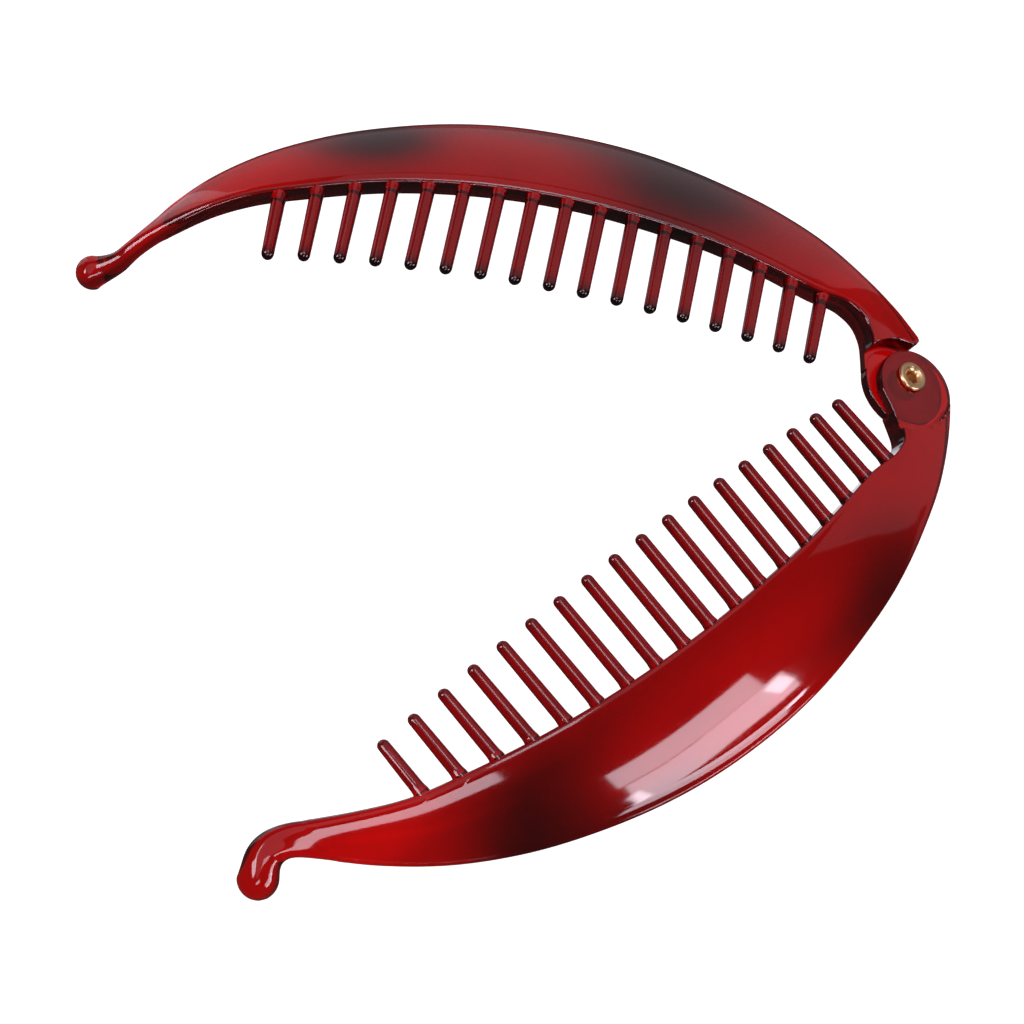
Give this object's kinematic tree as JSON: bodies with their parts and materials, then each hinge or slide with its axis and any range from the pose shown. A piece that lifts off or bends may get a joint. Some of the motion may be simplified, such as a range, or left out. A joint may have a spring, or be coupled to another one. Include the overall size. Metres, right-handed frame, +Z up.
{
  "type": "banana hair clip",
  "caption": "Long arched hair clip of two curved combs that turn on a small rivet at one end, with interlocking teeth and ball ends that snap past each other",
  "frame": {"origin": "middle of the bounding box in plan, on the surface that the clip lies on", "axes": "+X from the rivet to the free ends along the middle of the opening, +Y to the comb whose disc lies on top at the rivet, +Z up from the surface"},
  "size_m": [0.1408, 0.131, 0.0257],
  "materials": {
    "wine_plastic": "polished translucent wine red with dark tortoiseshell patches",
    "brass": "plain copper-coloured brass, lightly rolled"
  },
  "bodies": {
    "lower_arm": {"lower_comb": "wine_plastic", "hinge_rivet": "brass"},
    "upper_arm": {"upper_comb": "wine_plastic"}
  },
  "joints": [
    {"name": "rivet_hinge", "type": "hinge", "parent": "lower_arm", "child": "upper_arm", "pos_m": [-0.06349, 0.00221, 0.00704], "axis": [0.4538, -0.0586, -0.8891], "range_deg": [-51, 21]}
  ]
}
